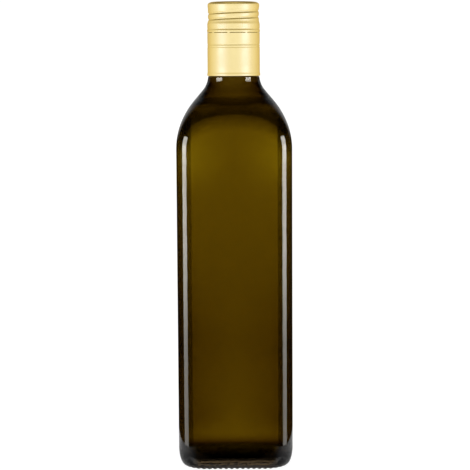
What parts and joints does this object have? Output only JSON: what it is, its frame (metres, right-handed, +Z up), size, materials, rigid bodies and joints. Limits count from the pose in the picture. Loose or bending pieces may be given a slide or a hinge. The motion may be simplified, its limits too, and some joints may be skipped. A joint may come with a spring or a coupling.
{
  "type": "square glass oil bottle",
  "caption": "Tall square bottle of dark olive glass with domed shoulders, filled with cooking oil and closed with a gold rolled-on aluminium cap.",
  "frame": {"origin": "middle of the base, on the surface that the bottle stands on", "axes": "+Z up along the bottle's axis towards the cap, the front face looks along -Y, +X to the right of the front face"},
  "size_m": [0.0688, 0.0688, 0.2795],
  "materials": {
    "bottle_glass": "dark olive green-brown glass, polished, with fine moulded stipple round the foot",
    "oil": "clear yellow-green olive oil, liquid",
    "gold_aluminium": "pale gold lacquered aluminium, satin"
  },
  "bodies": {
    "root": {"glass_bottle": "bottle_glass", "olive_oil": "oil", "screw_cap": "gold_aluminium"}
  },
  "joints": []
}
